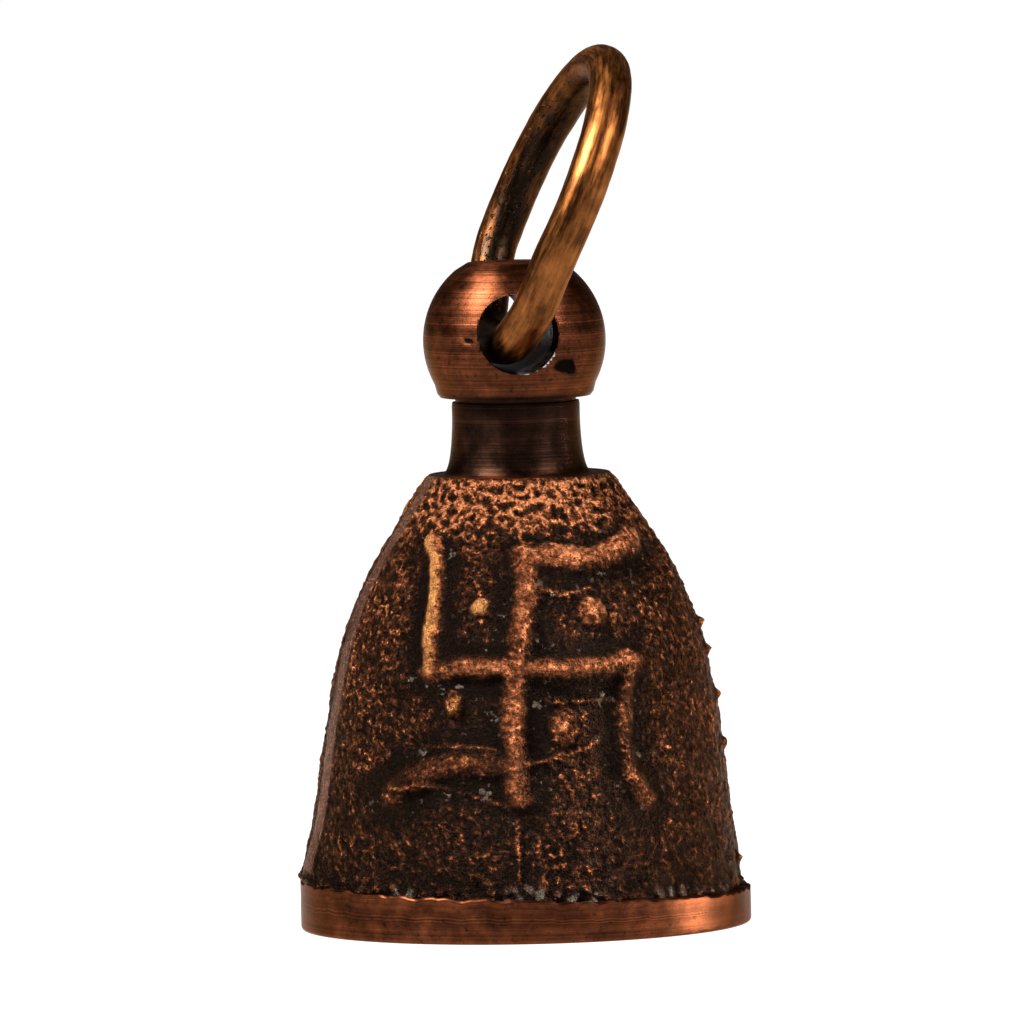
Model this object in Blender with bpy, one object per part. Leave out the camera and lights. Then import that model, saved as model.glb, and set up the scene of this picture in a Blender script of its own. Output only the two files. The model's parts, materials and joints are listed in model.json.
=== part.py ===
"""A small cast temple bell: a drilled ball crown, a wire hanging ring and a hung clapper.

The bell stands on its mouth. The origin is the centre of the mouth's plane, +Z runs up the
bell's axis and the emblem faces -Y. Lengths are in metres.
"""

import math

import bmesh
import bpy
import numpy as np
from mathutils import Matrix, Vector

MM = 0.001
GAP = 0.3 * MM                      # air kept between pieces that bear on each other

# Bell casting
MOUTH_RADIUS = 15.3 * MM            # turned rim band
RIM_HEIGHT = 3.0 * MM
MOUTH_INNER_RADIUS = 13.2 * MM
SHOULDER_HEIGHT = 30.75 * MM        # turned shoulder on top of the cast body
CEILING_HEIGHT = 27.5 * MM          # inside of the crown
NECK_RADIUS = 4.35 * MM
NECK_TOP = 35.65 * MM
BALL_RADIUS = 6.2 * MM
BALL_CENTRE_HEIGHT = 39.8 * MM
BALL_UNDERSIDE = 36.0 * MM
BALL_TOP = 45.1 * MM

# Control points (radius, height) of the two flank curves, rim to crown
OUTER_FLANK = [Vector(p) * MM for p in ((14.6, 3.0), (12.7, 22.6), (11.7, 22.1), (6.15, 30.75))]
INNER_FLANK = [Vector(p) * MM for p in ((13.0, 0.4), (10.7, 20.0), (10.1, 21.5), (4.6, 27.5))]

# Bore through the ball, drilled 10.7 degrees off the bell's front
BORE_RADIUS = 2.62 * MM
BORE_CENTRE = Vector((-0.97, 0.0, 40.55)) * MM
BORE_TURN = math.radians(11.4)
BORE_STRAIGHT = 5.4 * MM            # from the middle to where each mouth's edge is broken
BORE_FLARE = 0.3                    # how fast the broken edge widens along the bore

# Hanging ring
RING_RADIUS = 10.45 * MM            # to the middle of the wire
RING_WIRE_RADIUS = 1.49 * MM
RING_LIFT = 8.72 * MM               # from the bore's axis to the middle of the round part
RING_FLOOR = -0.95 * MM             # the wire is flattened to about this level in the bore
RING_SOFTNESS = 0.5 * MM            # how gently the round part turns into the flattened one
RING_SIDE_TOP = -0.45 * MM          # the round part lies a little to one side of the bore's axis
RING_SIDE_BORE = 0.15 * MM
RING_BEND_HEIGHT = 6.0 * MM         # below this height the wire bends back towards the bore
RING_STEPS = 64
RING_LEAN = math.radians(24.3)      # from upright, towards +X

# Emblem cast on the front
EMBLEM_RELIEF = 0.65 * MM
EMBLEM_ROOT = 0.6 * MM              # how deep a stroke is rooted in the wall
EMBLEM_DOT_RADIUS = 0.85 * MM

# Clapper and what it hangs on
EYE_WIRE_RADIUS = 0.8 * MM
EYE_RADIUS = 2.0 * MM
EYE_CENTRE_HEIGHT = 22.6 * MM
SHANK_TOP = 32.3 * MM
NUT_FLAT_RADIUS = 1.75 * MM
NUT_THICKNESS = 1.3 * MM
LINK_WIRE_RADIUS = 0.5 * MM
STEM_WIRE_RADIUS = 0.5 * MM
STEM_EYE_RADIUS = 1.8 * MM
BOB_RADIUS = 3.7 * MM
BOB_BOTTOM = 3.4 * MM
BOB_TOP = 10.0 * MM
WASHER_RADIUS = 1.7 * MM
WASHER_THICKNESS = 0.5 * MM
STEM_HEAD_RADIUS = 1.15 * MM
STEM_HEAD_HEIGHT = 0.6 * MM

TURNED_STEPS = 60                   # facets around the bell
SMALL_STEPS = 24                    # facets around small turned pieces

COPPER_BROWN = (0.115, 0.048, 0.026, 1.0)
RING_BRONZE = (0.20, 0.095, 0.035, 1.0)
BRASS = (0.42, 0.27, 0.10, 1.0)
STEEL = (0.42, 0.41, 0.40, 1.0)

# The link hangs on the eye, and the stem hangs on the link
EYE_HANGING_HEIGHT = EYE_CENTRE_HEIGHT - EYE_RADIUS
LINK_INNER_RADIUS = EYE_WIRE_RADIUS + STEM_WIRE_RADIUS + 1.5 * GAP
LINK_RADIUS = LINK_INNER_RADIUS + LINK_WIRE_RADIUS
LINK_CENTRE_HEIGHT = EYE_HANGING_HEIGHT + EYE_WIRE_RADIUS + GAP - LINK_INNER_RADIUS
STEM_HANGING_HEIGHT = LINK_CENTRE_HEIGHT - LINK_RADIUS
STEM_EYE_HEIGHT = STEM_HANGING_HEIGHT + LINK_WIRE_RADIUS + GAP + STEM_WIRE_RADIUS - STEM_EYE_RADIUS


def clear_scene():
    for thing in list(bpy.data.objects):
        bpy.data.objects.remove(thing, do_unlink=True)


def metal(name, colour, roughness):
    material = bpy.data.materials.new(name)
    material.use_nodes = True
    shader = material.node_tree.nodes["Principled BSDF"]
    shader.inputs["Base Color"].default_value = colour
    shader.inputs["Metallic"].default_value = 1.0
    shader.inputs["Roughness"].default_value = roughness
    material.diffuse_color = colour
    return material


def place_mesh(name, bm, material):
    """Turn a bmesh into a smooth-shaded object in the scene."""
    bmesh.ops.recalc_face_normals(bm, faces=bm.faces)
    mesh = bpy.data.meshes.new(name)
    bm.to_mesh(mesh)
    bm.free()
    mesh.shade_smooth()
    mesh.set_sharp_from_angle(angle=math.radians(35))
    if material:
        mesh.materials.append(material)
    thing = bpy.data.objects.new(name, mesh)
    bpy.context.scene.collection.objects.link(thing)
    return thing


def turned(name, profile, material, steps, closed=False):
    """Turn a half-section of (radius, height) points about Z."""
    bm = bmesh.new()
    points = [bm.verts.new((radius, 0.0, height)) for radius, height in profile]
    edges = [bm.edges.new(pair) for pair in zip(points, points[1:])]
    if closed:
        edges.append(bm.edges.new((points[-1], points[0])))
    bmesh.ops.spin(
        bm, geom=points + edges, cent=(0, 0, 0), axis=(0, 0, 1), angle=math.tau, steps=steps, use_merge=True
    )
    bmesh.ops.remove_doubles(bm, verts=bm.verts, dist=1e-6)
    return place_mesh(name, bm, material)


def wire(name, route, material, sides=12):
    """A round wire along (x, z, radius) points in the XZ plane, with flat ends."""
    centres = [Vector((x, 0.0, z)) for x, z, radius in route]
    bm = bmesh.new()
    rings = []
    for index, centre in enumerate(centres):
        before = centres[max(index - 1, 0)]
        after = centres[min(index + 1, len(centres) - 1)]
        along = (after - before).normalized()
        across = along.cross(Vector((0, 1, 0)))
        radius = route[index][2]
        ring = []
        for side in range(sides):
            turn = math.tau * side / sides
            offset = across * math.cos(turn) + Vector((0, 1, 0)) * math.sin(turn)
            ring.append(bm.verts.new(centre + offset * radius))
        rings.append(ring)
    for lower, upper in zip(rings, rings[1:]):
        for side in range(sides):
            after = (side + 1) % sides
            bm.faces.new((lower[side], lower[after], upper[after], upper[side]))
    bm.faces.new(rings[0])
    bm.faces.new(rings[-1])
    return place_mesh(name, bm, material)


def curve_points(controls, count):
    """Points (x, y) evenly spaced in parameter along a cubic Bezier curve."""
    start, pull_start, pull_end, end = controls
    points = []
    for step in range(count + 1):
        t = step / count
        s = 1.0 - t
        points.append(start * s**3 + pull_start * (3 * s * s * t) + pull_end * (3 * s * t * t) + end * t**3)
    return [(point.x, point.y) for point in points]


def combine(target, tool, operation):
    """Cut the target with a tool, or join the tool to it."""
    change = target.modifiers.new(tool.name, "BOOLEAN")
    change.operation = operation
    change.solver = "EXACT"
    change.object = tool
    tool.hide_render = True
    tool.display_type = "WIRE"


def ball_outline(steps):
    """The ball from the chamfer of its flat top down to its underside."""
    first = math.radians(39)        # measured from the top of the ball
    last = math.radians(118)
    points = []
    for step in range(steps + 1):
        angle = first + (last - first) * step / steps
        points.append((BALL_RADIUS * math.sin(angle), BALL_CENTRE_HEIGHT + BALL_RADIUS * math.cos(angle)))
    return points


def casting_profile():
    """Half-section of the whole casting, from the top of the ball to the blind hole inside."""
    groove_radius = NECK_RADIUS - 0.25 * MM
    hole_radius = EYE_WIRE_RADIUS + GAP
    edge = 0.25 * MM
    crown = [(0.0, BALL_TOP), (3.1 * MM, BALL_TOP)] + ball_outline(7) + [(5.15 * MM, BALL_UNDERSIDE)]
    neck = [
        (groove_radius, BALL_UNDERSIDE),
        (groove_radius, NECK_TOP),
        (NECK_RADIUS, NECK_TOP),
        (NECK_RADIUS + 0.05 * MM, 33.7 * MM),
        (NECK_RADIUS + 0.25 * MM, 31.6 * MM),
        (NECK_RADIUS + 0.9 * MM, SHOULDER_HEIGHT),
    ]
    flank = curve_points(OUTER_FLANK, 10)[::-1]
    rim = [
        (MOUTH_RADIUS - edge, RIM_HEIGHT),
        (MOUTH_RADIUS, RIM_HEIGHT - edge),
        (MOUTH_RADIUS, edge),
        (MOUTH_RADIUS - edge, 0.0),
        (MOUTH_INNER_RADIUS, 0.0),
    ]
    inside = curve_points(INNER_FLANK, 7)
    hole = [(hole_radius, CEILING_HEIGHT), (hole_radius, SHANK_TOP + GAP), (0.0, SHANK_TOP + GAP)]
    return crown + neck + flank + rim + inside + hole


def flank_radius(height):
    """Outer radius of the cast body at a height."""
    outline = curve_points(OUTER_FLANK, 60)
    return float(np.interp(height, [z for r, z in outline], [r for r, z in outline]))


def on_flank(x, height):
    """The front surface point with this x and height, and the outward direction there."""
    step = 0.2 * MM
    point = Vector((x, -math.sqrt(flank_radius(height) ** 2 - x * x), height))
    above = flank_radius(height + step)
    below = flank_radius(height - step)
    outward = Vector((point.x, point.y, 0.0)).normalized()
    outward.z = (below - above) / (2 * step)
    return point, outward.normalized()


def emblem_strokes():
    """Each raised stroke as (x, height) points in millimetres and its width at the root."""
    return {
        "upright": ([(0.5, 25.9), (0.2, 22.0), (-0.3, 18.9), (-0.4, 14.5), (-0.3, 9.7)], 1.9 * MM),
        "crossbar": ([(-6.7, 18.4), (-3.4, 18.5), (0.0, 18.8), (3.4, 19.0), (7.7, 19.4)], 1.6 * MM),
        "left_arm": ([(-6.4, 18.5), (-6.0, 22.0), (-5.9, 25.0), (-6.1, 27.0)], 1.2 * MM),
        "top_arm": ([(0.4, 25.6), (2.7, 25.7), (5.2, 26.0), (7.2, 26.7)], 1.3 * MM),
        "right_arm": ([(7.2, 19.3), (6.8, 17.0), (6.7, 13.5), (7.3, 11.2), (8.3, 9.6)], 1.4 * MM),
        "bottom_arm": ([(-0.5, 12.3), (-3.4, 12.3), (-6.4, 12.0), (-8.1, 11.0), (-9.1, 9.9)], 1.9 * MM),
    }


def emblem_stroke(name, points, width):
    """A raised bar that follows the flank, narrower at its crest than at its root."""
    crest_share = 0.6
    bm = bmesh.new()
    sections = []
    for index, (x, height) in enumerate(points):
        before = points[max(index - 1, 0)]
        after = points[min(index + 1, len(points) - 1)]
        start, _ = on_flank(before[0] * MM, before[1] * MM)
        end, _ = on_flank(after[0] * MM, after[1] * MM)
        foot, outward = on_flank(x * MM, height * MM)
        across = outward.cross(end - start).normalized() * (width / 2)
        root = foot - outward * EMBLEM_ROOT
        crest = foot + outward * EMBLEM_RELIEF
        corners = (root - across, root + across, crest + across * crest_share, crest - across * crest_share)
        sections.append([bm.verts.new(corner) for corner in corners])
    for near, far in zip(sections, sections[1:]):
        for side in range(4):
            after = (side + 1) % 4
            bm.faces.new((near[side], near[after], far[after], far[side]))
    bm.faces.new(sections[0])
    bm.faces.new(sections[-1])
    return place_mesh(name, bm, None)


def emblem_dot(name, x, height):
    """A small raised boss, half sunk in the flank."""
    foot, outward = on_flank(x, height)
    bm = bmesh.new()
    bmesh.ops.create_icosphere(bm, subdivisions=2, radius=EMBLEM_DOT_RADIUS)
    flatten = Matrix.Diagonal((1.0, 1.0, EMBLEM_RELIEF / EMBLEM_DOT_RADIUS, 1.0))
    turn = Vector((0, 0, 1)).rotation_difference(outward).to_matrix().to_4x4()
    bmesh.ops.transform(bm, matrix=Matrix.Translation(foot) @ turn @ flatten, verts=bm.verts)
    return place_mesh(name, bm, None)


def bore_tool():
    """The drill for the ring's bore, flared at both ends by a countersink."""
    reach = 8.0 * MM
    flare = (reach - BORE_STRAIGHT) * BORE_FLARE
    profile = [
        (0.0, reach),
        (BORE_RADIUS + flare, reach),
        (BORE_RADIUS, BORE_STRAIGHT),
        (BORE_RADIUS, -BORE_STRAIGHT),
        (BORE_RADIUS + flare, -reach),
        (0.0, -reach),
    ]
    tool = turned("bore_tool", profile, None, 32)
    tool.location = BORE_CENTRE
    tool.rotation_euler = (math.radians(90), 0.0, BORE_TURN)
    return tool


def bell_casting(material):
    """Body, rim, neck and ball, cast as one piece, then turned, drilled and tapped."""
    casting = turned("bell_casting", casting_profile(), material, TURNED_STEPS)
    combine(casting, bore_tool(), "DIFFERENCE")
    for name, (points, width) in emblem_strokes().items():
        combine(casting, emblem_stroke(name, points, width), "UNION")
    dots = ((-2.9, 22.5), (4.7, 22.1), (-4.7, 16.2), (2.9, 14.4))
    for number, (x, height) in enumerate(dots, start=1):
        combine(casting, emblem_dot(f"dot_{number}", x * MM, height * MM), "UNION")
    return casting


def pivot(name, location, turn=0.0):
    """An empty on a joint's axis, for the pieces that swing there."""
    empty = bpy.data.objects.new(name, None)
    empty.location = location
    empty.rotation_euler = (0.0, 0.0, turn)
    bpy.context.scene.collection.objects.link(empty)
    return empty


def ring_route():
    """The middle of the ring's wire, as (aside, along the bore, height) from the bore's axis.

    The ring is round, but flattened and bent a little aside where it passes through the bore.
    """
    route = []
    for step in range(RING_STEPS):
        turn = math.tau * step / RING_STEPS
        height = RING_LIFT + RING_RADIUS * math.cos(turn)
        over_floor = height - RING_FLOOR
        height = RING_FLOOR + (over_floor + math.hypot(over_floor, RING_SOFTNESS)) / 2
        rise = min(max(height / RING_BEND_HEIGHT, 0.0), 1.0)
        rise = rise * rise * (3.0 - 2.0 * rise)
        aside = RING_SIDE_BORE + (RING_SIDE_TOP - RING_SIDE_BORE) * rise
        route.append((aside, RING_RADIUS * math.sin(turn), height))
    return route


def hanging_ring(material):
    """The closed wire ring, standing in the bore and leaning towards +X.

    Its pivot empty turns with the bore, so the ring swings about the pivot's own Y axis.
    """
    curve = bpy.data.curves.new("hanging_ring", "CURVE")
    curve.dimensions = "3D"
    curve.bevel_depth = RING_WIRE_RADIUS
    curve.bevel_resolution = 5
    curve.materials.append(material)
    spline = curve.splines.new("POLY")
    spline.points.add(RING_STEPS - 1)
    spline.use_cyclic_u = True
    for point, place in zip(spline.points, ring_route()):
        point.co = (*place, 1.0)
    ring = bpy.data.objects.new("hanging_ring", curve)
    bpy.context.scene.collection.objects.link(ring)
    ring.parent = pivot("ring_pivot", BORE_CENTRE, BORE_TURN)
    ring.matrix_basis = Matrix.Rotation(RING_LEAN, 4, "Y")
    return ring


def arc(radius, first, last, steps):
    """Points (x, z) on a circle, from the first to the last angle in degrees."""
    points = []
    for step in range(steps + 1):
        angle = math.radians(first + (last - first) * step / steps)
        points.append(Vector((radius * math.cos(angle), radius * math.sin(angle))))
    return points


def eye_route(eye_radius, wire_radius, loop_end):
    """A wire that comes up the axis, bends aside and closes into an eye about the origin."""
    loop_start = -40.0
    loop = arc(eye_radius, loop_start, loop_end, 26)
    tangent = (loop[1] - loop[0]).normalized()
    below = Vector((0.0, -eye_radius - 1.4 * wire_radius))
    bend = [below, below * 0.84, loop[0] - tangent * (0.4 * eye_radius), loop[0]]
    route = curve_points(bend, 6)[:-1] + [(point.x, point.y) for point in loop]
    return [(x, z, wire_radius) for x, z in route]


def crown_eye(material):
    """A wire eye with a threaded shank, screwed into the blind hole in the crown."""
    shank_length = SHANK_TOP - EYE_CENTRE_HEIGHT
    tip = 0.3 * MM
    shank = [
        (0.0, -shank_length, EYE_WIRE_RADIUS - tip),
        (0.0, -shank_length + tip, EYE_WIRE_RADIUS),
        (0.0, -EYE_RADIUS - 2.5 * EYE_WIRE_RADIUS, EYE_WIRE_RADIUS),
    ]
    eye = wire("crown_eye", shank + eye_route(EYE_RADIUS, EYE_WIRE_RADIUS, 210.0), material)
    eye.rotation_euler = (0.0, math.pi, 0.0)
    eye.location = (0.0, 0.0, EYE_CENTRE_HEIGHT)
    return eye


def eye_lock_nut(material):
    """The hexagon nut that locks the eye's shank against the crown's ceiling."""
    corner_radius = NUT_FLAT_RADIUS / math.cos(math.radians(30))
    hole_radius = EYE_WIRE_RADIUS + GAP
    bm = bmesh.new()
    outer = bmesh.ops.create_circle(bm, segments=6, radius=corner_radius)["verts"]
    inner = bmesh.ops.create_circle(bm, segments=18, radius=hole_radius)["verts"]
    rims = [edge for edge in bm.edges if edge.verts[0] in outer or edge.verts[0] in inner]
    faces = bmesh.ops.triangle_fill(bm, edges=rims, use_dissolve=True, use_beauty=True)["geom"]
    flats = [face for face in faces if isinstance(face, bmesh.types.BMFace)]
    sides = bmesh.ops.extrude_face_region(bm, geom=flats)["geom"]
    raised = [vert for vert in sides if isinstance(vert, bmesh.types.BMVert)]
    bmesh.ops.translate(bm, vec=(0, 0, NUT_THICKNESS), verts=raised)
    nut = place_mesh("eye_lock_nut", bm, material)
    nut.location = (0.0, 0.0, CEILING_HEIGHT - GAP - NUT_THICKNESS)
    return nut


def clapper_link(material):
    """A jump ring, split at its side, that joins the stem to the eye."""
    split = 5.0                     # degrees on each side of the split
    loop = arc(LINK_RADIUS, split, 360.0 - split, 36)
    link = wire("clapper_link", [(point.x, point.y, LINK_WIRE_RADIUS) for point in loop], material)
    link.parent = pivot("link_pivot", (0.0, 0.0, EYE_HANGING_HEIGHT))
    link.rotation_euler = (0.0, 0.0, math.radians(90))
    link.location = (0.0, 0.0, LINK_CENTRE_HEIGHT - EYE_HANGING_HEIGHT)
    return link


def clapper_stem(material, hanger):
    """A straight wire with an eye at its top and a riveted head under the bob."""
    head_top = BOB_BOTTOM - GAP - WASHER_THICKNESS - GAP - STEM_EYE_HEIGHT
    head_bottom = head_top - STEM_HEAD_HEIGHT
    rounding = 0.25 * MM
    rod = [
        (0.0, head_bottom, STEM_HEAD_RADIUS - rounding),
        (0.0, head_bottom + rounding, STEM_HEAD_RADIUS),
        (0.0, head_top - 0.1 * MM, STEM_HEAD_RADIUS),
        (0.0, head_top, STEM_WIRE_RADIUS),
        (0.0, -STEM_EYE_RADIUS - 4 * STEM_WIRE_RADIUS, STEM_WIRE_RADIUS),
    ]
    stem = wire("clapper_stem", rod + eye_route(STEM_EYE_RADIUS, STEM_WIRE_RADIUS, 225.0), material)
    stem.parent = hanger
    stem.location = (0.0, 0.0, STEM_EYE_HEIGHT - STEM_HANGING_HEIGHT)
    return stem


def clapper_bob(material, hanger):
    """The turned pear-shaped weight that strikes the bell, drilled for its stem."""
    hole_radius = STEM_WIRE_RADIUS + GAP
    top_radius = 1.5 * MM
    belly_height = BOB_BOTTOM + 2.2 * MM
    shape = [
        Vector((top_radius, BOB_TOP)),
        Vector((top_radius + 0.4 * MM, BOB_TOP - 2.6 * MM)),
        Vector((BOB_RADIUS + 0.3 * MM, BOB_TOP - 2.2 * MM)),
        Vector((BOB_RADIUS, belly_height)),
    ]
    underside = [
        Vector((BOB_RADIUS, belly_height)),
        Vector((BOB_RADIUS, belly_height - 1.2 * MM)),
        Vector((BOB_RADIUS - 1.0 * MM, BOB_BOTTOM)),
        Vector((BOB_RADIUS - 2.4 * MM, BOB_BOTTOM)),
    ]
    outline = curve_points(shape, 8) + curve_points(underside, 5)[1:]
    profile = [(hole_radius, BOB_TOP)] + outline + [(hole_radius, BOB_BOTTOM)]
    bob = turned("clapper_bob", profile, material, SMALL_STEPS, closed=True)
    bob.parent = hanger
    bob.location = (0.0, 0.0, -STEM_HANGING_HEIGHT)
    return bob


def bob_washer(material, hanger):
    """The washer between the bob and the stem's riveted head."""
    hole_radius = STEM_WIRE_RADIUS + GAP
    top = BOB_BOTTOM - GAP
    bottom = top - WASHER_THICKNESS
    profile = [(hole_radius, top), (WASHER_RADIUS, top), (WASHER_RADIUS, bottom), (hole_radius, bottom)]
    washer = turned("bob_washer", profile, material, SMALL_STEPS, closed=True)
    washer.parent = hanger
    washer.location = (0.0, 0.0, -STEM_HANGING_HEIGHT)
    return washer


def main():
    clear_scene()
    steel = metal("zinc_plated_steel", STEEL, 0.38)
    brass = metal("turned_brass", BRASS, 0.35)
    bell_casting(metal("antique_copper", COPPER_BROWN, 0.45))
    hanging_ring(metal("ring_bronze", RING_BRONZE, 0.35))
    crown_eye(steel)
    eye_lock_nut(steel)
    clapper_link(steel)
    clapper_pivot = pivot("clapper_pivot", (0.0, 0.0, STEM_HANGING_HEIGHT))
    clapper_stem(steel, clapper_pivot)
    clapper_bob(brass, clapper_pivot)
    bob_washer(steel, clapper_pivot)


main()
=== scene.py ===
"""Looks of a small cast temple bell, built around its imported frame.

Shapes are worked out in millimetres and turned into metres as each mesh is made. The frame
gives the bell's box, and the ring's joint gives the bore and the ring their places.
"""

import itertools
import json
import math

import bpy
import numpy as np
from mathutils import Matrix, Vector


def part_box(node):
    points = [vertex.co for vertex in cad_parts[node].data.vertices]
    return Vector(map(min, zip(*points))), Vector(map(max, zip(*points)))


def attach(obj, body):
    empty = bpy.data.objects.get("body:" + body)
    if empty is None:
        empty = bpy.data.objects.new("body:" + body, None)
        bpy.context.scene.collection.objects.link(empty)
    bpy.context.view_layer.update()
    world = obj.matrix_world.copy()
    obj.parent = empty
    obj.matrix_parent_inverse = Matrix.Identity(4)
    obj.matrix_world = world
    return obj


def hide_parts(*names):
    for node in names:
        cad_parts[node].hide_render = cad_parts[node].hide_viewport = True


MM = 0.001

# Turned profile of the casting, in millimetres above the mouth
RIM_EDGE = 0.3                      # rounding of the rim's edges
MOUTH_INNER_RADIUS = 13.2
CAST_FOOT_RADIUS = 14.6             # where the cast flank meets the rim band
BAND_HEIGHT = 2.9                   # turned band at the rim, on average
BAND_TILT = 0.5                     # the band is higher at -X, where the casting sat off centre
SHOULDER_RADIUS = 6.15
SHOULDER_HEIGHT = 30.75
CEILING_HEIGHT = 27.5
NECK_RADIUS = 4.35
NECK_TOP = 35.65
BALL_RADIUS = 6.2
BALL_CENTRE_HEIGHT = 39.8
BALL_UNDERSIDE = 36.0
BALL_TOP_FLAT = 3.1
EYE_HOLE_RADIUS = 1.1
EYE_HOLE_TOP = 32.6
OUTER_FLANK = np.array(((CAST_FOOT_RADIUS, 3.0), (12.7, 22.6), (11.7, 22.1), (SHOULDER_RADIUS, 30.75)))
INNER_FLANK = np.array(((13.0, 0.4), (10.7, 20.0), (10.1, 21.5), (4.6, 27.5)))
NECK_WAIST = ((NECK_RADIUS - 0.05, 33.4), (4.5, 31.6))
NECK_FOOT = (4.8, 31.05)
NECK_FILLET = ((4.9, 30.9), (5.0, 30.76))
NECK_SEAT_RADIUS = 5.3              # where the fillet runs out on the shoulder
BALL_FOOT = ((5.3, 36.25), (5.1, BALL_UNDERSIDE))
GROOVE_DEPTH = 0.25                 # turned groove between the ball and the neck

# Bore and ring
BORE_RADIUS = 2.6
BORE_STRAIGHT = 5.3                 # from the middle to where each mouth's edge is broken
BORE_FLARE = 0.3
RING_RADIUS = 10.45                 # to the middle of the wire
RING_WIRE_RADIUS = 1.47
RING_LIFT = 8.72                    # from the bore's axis to the middle of the round part
RING_FLOOR = -0.95                  # the wire is flattened to about this level in the bore
RING_SOFTNESS = 0.5
RING_SIDE_TOP = -0.45               # the round part lies a little to one side of the bore's axis
RING_SIDE_BORE = 0.15
RING_BEND_HEIGHT = 6.0
RING_LEAN = math.radians(24.3)      # from upright, towards +X

# Mesh fineness
FINE_SIDES = 384                    # around the cast flank and the rim
COARSE_SIDES = FINE_SIDES // 2      # around the ball, the neck and the inside
FLANK_SPACING = 0.21
TURNED_SPACING = 0.24
INSIDE_SPACING = 0.55
SHARP_ANGLE = math.radians(40.0)    # edges sharper than this stay crisp

# Emblem on the front: (x, height) points of each stroke, half its width, its relief, and how much
# it is made bright, as rubbing wear and as painted highlight on the strokes towards the key lamp
EMBLEM_STROKES = (
    (((0.35, 25.8), (0.25, 23.3), (0.0, 20.9), (-0.35, 18.5), (-0.6, 15.5), (-0.6, 12.0), (-0.4, 9.9)),
     0.95, 0.52, 0.45),
    (((-6.2, 18.2), (-3.8, 18.4), (0.0, 18.35), (3.1, 18.2), (5.8, 18.4), (7.2, 18.7)), 0.8, 0.55, 0.4),
    (((-6.1, 18.4), (-6.15, 20.3), (-5.9, 22.4), (-5.6, 24.4), (-5.6, 25.6), (-5.9, 26.6)), 0.62, 0.6, 0.8),
    (((0.5, 25.6), (2.4, 25.55), (4.2, 25.35), (6.0, 25.7), (7.3, 26.4)), 0.95, 0.55, 0.28),
    (((7.3, 18.6), (6.85, 17.1), (6.7, 15.1), (6.75, 13.1), (7.15, 11.3), (8.3, 9.3)), 0.72, 0.42, 0.14),
    (((-0.8, 11.9), (-3.3, 12.2), (-5.5, 11.9), (-7.3, 11.1), (-8.8, 9.9)), 0.98, 0.5, 0.22),
)
# Emblem dots: x, height, radius across, radius upwards, how much each is made bright by rubbing wear and
# painted highlight
EMBLEM_DOTS = (
    (-2.8, 22.4, 0.7, 0.8, 1.0),
    (4.65, 22.0, 1.1, 1.15, 0.35),
    (-4.65, 16.1, 0.8, 1.1, 0.7),
    (2.7, 14.55, 1.2, 1.25, 0.2),
)
DOT_HEIGHT = 0.55

# Thin wrinkles that the metal left as it set: (x, height) points
COLD_LAPS = (
    ((-0.35, 8.2), (-0.28, 5.6), (-0.28, 4.0)),
    ((1.4, 23.5), (2.8, 23.1), (4.6, 23.5)),
    ((0.6, 16.3), (3.1, 16.1), (5.8, 16.05)),
    ((0.3, 12.0), (2.3, 12.4), (3.7, 12.8), (5.0, 13.3)),
    ((-8.3, 10.3), (-5.8, 10.6), (-2.9, 9.85), (-1.3, 9.3)),
    ((-6.6, 13.2), (-5.0, 13.3), (-2.8, 13.2), (-1.7, 13.05)),
)
LAP_HEIGHT = 0.15
LAP_HALF_WIDTH = 0.17

# Relief of the cast skin: heights, and the size of the features of each
GRAIN_HEIGHT = 0.15
GRAIN_CELL = 0.50
FINE_GRAIN_HEIGHT = 0.09
FINE_GRAIN_CELL = 0.33
CRAG_HEIGHT = 0.27                  # coarse relief near the shoulder
CRAG_CELL = 0.85
CRAG_HEIGHTS = (24.5, 29.0)         # where it begins and where it is full
CRUMB_HEIGHT = 0.62                 # crumbs of metal along the top of the rim
CRUMB_CELL = 0.78
WEAR_FINE = 0.06                    # height over the near surroundings that wear shows up
WEAR_AND_SHADE_BROAD = 0.3                    # and over the wider ones, where the lower ground beside raised relief is given painted shade

# Filed parting lines, one on each side
PARTING_AZIMUTHS = (-75.5, 104.5)   # degrees from the front towards +X
PARTING_HALF_WIDTH = 1.2
FLARE_SIZES = (0.62, 0.35)          # metal squeezed out at each line, just above the rim
FLARE_SPREAD = 20.0                 # degrees
FLARE_HEIGHT = 4.0

# Lumps of flash: azimuth in degrees and height
FLASH_LUMPS = ((88.0, 20.4), (86.0, 18.6), (90.0, 15.5), (91.0, 12.2), (87.0, 4.3))
LUMP_HEIGHT = 0.38
LUMP_RADIUS = 0.36

# Dents in the turned ball: middle, size and depth
BALL_DENTS = (
    ((3.35, -4.85, 38.25), (0.75, 0.7, 0.42), 0.3),
    ((3.9, -4.6, 38.0), (0.35, 0.4, 0.3), 0.22),
    ((-3.1, -5.3, 40.1), (0.4, 0.5, 0.22), 0.2),
    ((-4.6, 2.6, 41.8), (0.5, 0.5, 0.4), 0.2),
)

# Oxide keeps its colour where it is seen at a glancing angle
EDGE_TINT = (0.74, 0.58, 0.50, 1.0)

# Stage. The camera's aim and the width it sees are in millimetres, its distance in metres
CAMERA_AIM = (-0.40, 0.0, 28.1)
CAMERA_ELEVATION = math.radians(3.85)
CAMERA_ROLL = math.radians(1.18)
CAMERA_DISTANCE = 1.20
SEEN_WIDTH = 69.5
LIGHT_AIM = (0.0, 0.0, 0.025)
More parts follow.
